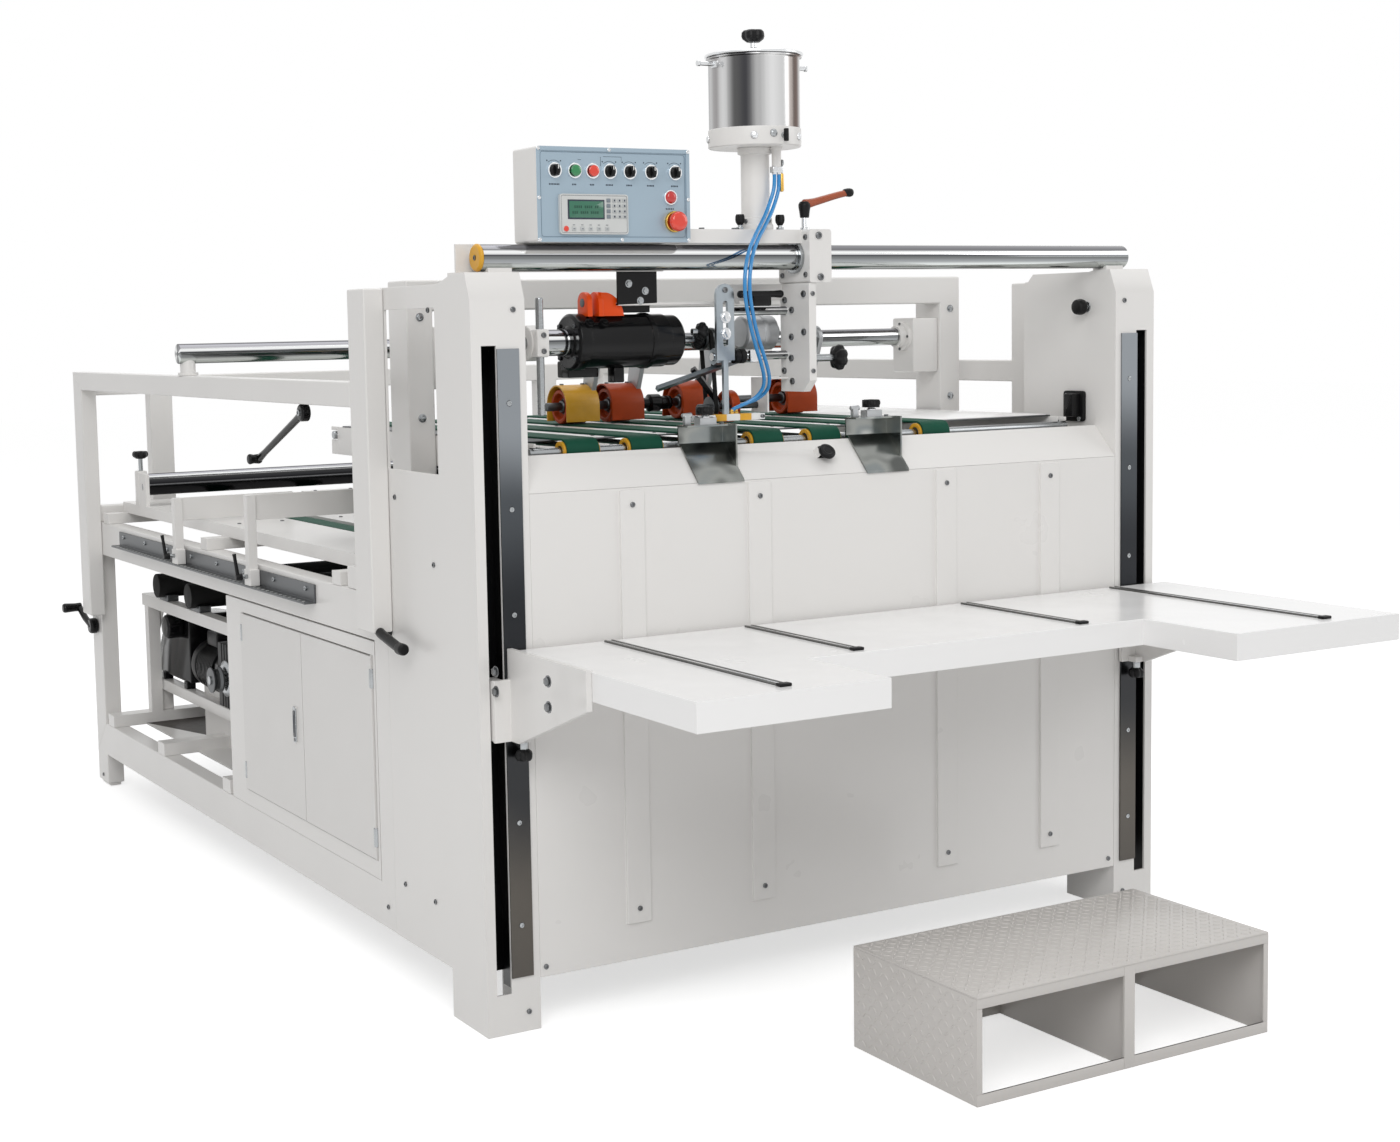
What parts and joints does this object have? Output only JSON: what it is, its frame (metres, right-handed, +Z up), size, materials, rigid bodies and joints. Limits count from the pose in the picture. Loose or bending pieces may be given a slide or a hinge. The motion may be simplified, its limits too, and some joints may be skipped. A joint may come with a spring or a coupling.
{
  "type": "folder gluer",
  "caption": "Floor standing carton folder gluer with a lift table between two columns, a belt feed bed, a sliding glue head on a chromed rod and a folding conveyor behind.",
  "frame": {"origin": "middle of the whole set's footprint on the floor", "axes": "+X to the operator's right along the cross rod, +Y from the operator to the delivery end, +Z up"},
  "size_m": [1.86, 3.558, 1.9986],
  "materials": {
    "white_paint": "semi-gloss warm white machine paint",
    "panel_blue": "satin pale blue grey control panel",
    "machined_steel": "ground steel with fine machining lines",
    "chrome_bar": "hard chromed round bar",
    "pot_steel": "spun stainless steel",
    "black_plastic": "black moulded plastic",
    "black_metal": "black satin enamel",
    "belt_rubber": "dark green flat transmission belt",
    "yellow_wheel": "yellow polyurethane",
    "orange_plastic": "orange moulded plastic",
    "green_button": "green push button",
    "red_button": "red push button",
    "hose_blue": "blue polyurethane air and glue hose",
    "brass_fitting": "turned brass"
  },
  "bodies": {
    "machine_frame": {"left_column": "white_paint", "right_column": "white_paint", "front_panel": "white_paint", "front_deflector": "white_paint", "left_base_frame": "white_paint", "right_base_frame": "white_paint", "left_upper_frame": "white_paint", "right_upper_frame": "white_paint", "front_gantry": "white_paint", "rear_portal": "white_paint", "cabinet": "white_paint", "conveyor_bed": "white_paint", "base_tray": "white_paint", "control_box": "panel_blue", "left_slide_rail": "machined_steel", "right_slide_rail": "machined_steel", "press_rod": "machined_steel", "fence_rail": "machined_steel", "step_platform": "machined_steel", "main_rod": "chrome_bar", "stiffener_rod": "chrome_bar", "feed_table": "belt_rubber"},
    "lift_table": {"lift_table": "white_paint", "left_bracket": "white_paint", "right_bracket": "white_paint"},
    "left_lock_knob": {"left_lock_knob": "black_plastic"},
    "right_lock_knob": {"right_lock_knob": "black_plastic"},
    "glue_carriage": {"carriage_block": "white_paint", "hang_plate": "white_paint", "motor_hanger": "black_metal", "glue_motor": "black_metal", "fork_plate": "machined_steel", "pot_post": "white_paint", "glue_pot": "pot_steel", "glue_hose_left": "hose_blue", "glue_hose_right": "hose_blue"},
    "pot_lid": {"pot_lid": "pot_steel"},
    "clamp_lever": {"clamp_lever": "orange_plastic"},
    "star_knob": {"star_knob": "black_plastic"},
    "valve_handle": {"valve_handle": "brass_fitting"},
    "glue_wheel": {"glue_wheel": "orange_plastic"},
    "front_pulley_shaft": {"front_pulley_shaft": "yellow_wheel"},
    "rear_pulley_shaft": {"rear_pulley_shaft": "yellow_wheel"},
    "press_wheel_shaft": {"press_wheel_shaft": "orange_plastic"},
    "left_front_guide": {"left_front_guide": "machined_steel"},
    "right_front_guide": {"right_front_guide": "machined_steel"},
    "front_cabinet_door": {"front_cabinet_door": "white_paint"},
    "rear_cabinet_door": {"rear_cabinet_door": "white_paint"},
    "start_button": {"start_button": "green_button"},
    "stop_button": {"stop_button": "red_button"},
    "emergency_stop": {"emergency_stop": "red_button"},
    "press_roller": {"press_roller": "black_metal"},
    "front_fence": {"front_fence": "white_paint"},
    "rear_fence": {"rear_fence": "white_paint"},
    "crank_lever": {"crank_lever": "black_plastic"},
    "selector_1": {"selector_1": "black_plastic"},
    "selector_2": {"selector_2": "black_plastic"},
    "selector_3": {"selector_3": "black_plastic"},
    "selector_4": {"selector_4": "black_plastic"},
    "selector_5": {"selector_5": "black_plastic"}
  },
  "joints": [
    {"name": "table_lift", "type": "slide", "parent": "machine_frame", "child": "lift_table", "axis": [0, 0, 1], "range_m": [-0.45, 0.28]},
    {"name": "left_lock_turn", "type": "hinge", "parent": "lift_table", "child": "left_lock_knob", "pos_m": [-0.802, -1.023, 0.57], "axis": [0, 0, 1], "continuous": true},
    {"name": "right_lock_turn", "type": "hinge", "parent": "lift_table", "child": "right_lock_knob", "pos_m": [0.802, -1.023, 0.57], "axis": [0, 0, 1], "continuous": true},
    {"name": "carriage_slide", "type": "slide", "parent": "machine_frame", "child": "glue_carriage", "axis": [1, 0, 0], "range_m": [0, 0.7]},
    {"name": "lid_lift", "type": "slide", "parent": "glue_carriage", "child": "pot_lid", "axis": [0, 0, 1], "range_m": [0, 0.15]},
    {"name": "clamp_turn", "type": "hinge", "parent": "glue_carriage", "child": "clamp_lever", "pos_m": [-0.06, -0.933, 1.63], "axis": [0, 0, 1], "range_deg": [-60, 60]},
    {"name": "star_knob_turn", "type": "hinge", "parent": "glue_carriage", "child": "star_knob", "pos_m": [-0.01, -0.931, 1.316], "axis": [1, 0, 0], "continuous": true},
    {"name": "valve_turn", "type": "hinge", "parent": "glue_carriage", "child": "valve_handle", "pos_m": [-0.133, -0.955, 1.724], "axis": [1, 0, 0], "range_deg": [-90, 0]},
    {"name": "glue_wheel_spin", "type": "hinge", "parent": "glue_carriage", "child": "glue_wheel", "pos_m": [-0.212, -0.861, 1.218], "axis": [1, 0, 0], "continuous": true},
    {"name": "front_pulley_spin", "type": "hinge", "parent": "machine_frame", "child": "front_pulley_shaft", "pos_m": [0, -0.887, 1.1407], "axis": [1, 0, 0], "continuous": true},
    {"name": "rear_pulley_spin", "type": "hinge", "parent": "machine_frame", "child": "rear_pulley_shaft", "pos_m": [0, 0.155, 1.1407], "axis": [1, 0, 0], "continuous": true},
    {"name": "press_wheel_spin", "type": "hinge", "parent": "machine_frame", "child": "press_wheel_shaft", "pos_m": [0, -0.339, 1.2086], "axis": [1, 0, 0], "continuous": true},
    {"name": "left_guide_slide", "type": "slide", "parent": "machine_frame", "child": "left_front_guide", "axis": [1, 0, 0], "range_m": [-0.35, 0.08]},
    {"name": "right_guide_slide", "type": "slide", "parent": "machine_frame", "child": "right_front_guide", "axis": [1, 0, 0], "range_m": [-0.06, 0.5]},
    {"name": "front_door_swing", "type": "hinge", "parent": "machine_frame", "child": "front_cabinet_door", "pos_m": [-0.878, -0.457, 0.467], "axis": [0, 0, 1], "range_deg": [0, 100]},
    {"name": "rear_door_swing", "type": "hinge", "parent": "machine_frame", "child": "rear_cabinet_door", "pos_m": [-0.878, 0.373, 0.467], "axis": [0, 0, -1], "range_deg": [0, 100]},
    {"name": "start_press", "type": "slide", "parent": "machine_frame", "child": "start_button", "axis": [0, 1, 0], "range_m": [0, 0.003], "stiffness_N_per_m": 300},
    {"name": "stop_press", "type": "slide", "parent": "machine_frame", "child": "stop_button", "axis": [0, 1, 0], "range_m": [0, 0.003], "stiffness_N_per_m": 300},
    {"name": "emergency_press", "type": "slide", "parent": "machine_frame", "child": "emergency_stop", "axis": [0, 1, 0], "range_m": [0, 0.006], "stiffness_N_per_m": 400},
    {"name": "selector_1_turn", "type": "hinge", "parent": "machine_frame", "child": "selector_1", "pos_m": [-0.69, -1.002, 1.695], "axis": [0, 1, 0], "range_deg": [-45, 45]},
    {"name": "selector_2_turn", "type": "hinge", "parent": "machine_frame", "child": "selector_2", "pos_m": [-0.567, -1.002, 1.695], "axis": [0, 1, 0], "range_deg": [-45, 45]},
    {"name": "selector_3_turn", "type": "hinge", "parent": "machine_frame", "child": "selector_3", "pos_m": [-0.522, -1.002, 1.695], "axis": [0, 1, 0], "range_deg": [-45, 45]},
    {"name": "selector_4_turn", "type": "hinge", "parent": "machine_frame", "child": "selector_4", "pos_m": [-0.473, -1.002, 1.695], "axis": [0, 1, 0], "range_deg": [-45, 45]},
    {"name": "selector_5_turn", "type": "hinge", "parent": "machine_frame", "child": "selector_5", "pos_m": [-0.417, -1.002, 1.695], "axis": [0, 1, 0], "range_deg": [-45, 45]},
    {"name": "press_roller_spin", "type": "hinge", "parent": "machine_frame", "child": "press_roller", "pos_m": [0, 1.395, 0.946], "axis": [1, 0, 0], "continuous": true},
    {"name": "front_fence_slide", "type": "slide", "parent": "machine_frame", "child": "front_fence", "axis": [0, 1, 0], "range_m": [-0.08, 0.25]},
    {"name": "rear_fence_slide", "type": "slide", "parent": "machine_frame", "child": "rear_fence", "axis": [0, 1, 0], "range_m": [-0.25, 0.4]},
    {"name": "crank_swing", "type": "hinge", "parent": "machine_frame", "child": "crank_lever", "pos_m": [-0.903, -0.165, 1.2117], "axis": [1, 0, 0], "range_deg": [-25, 17]}
  ],
  "couplings": [
    {"joint": "rear_pulley_spin", "follows": "front_pulley_spin", "ratio": 1},
    {"joint": "press_wheel_spin", "follows": "front_pulley_spin", "ratio": -0.6825}
  ]
}
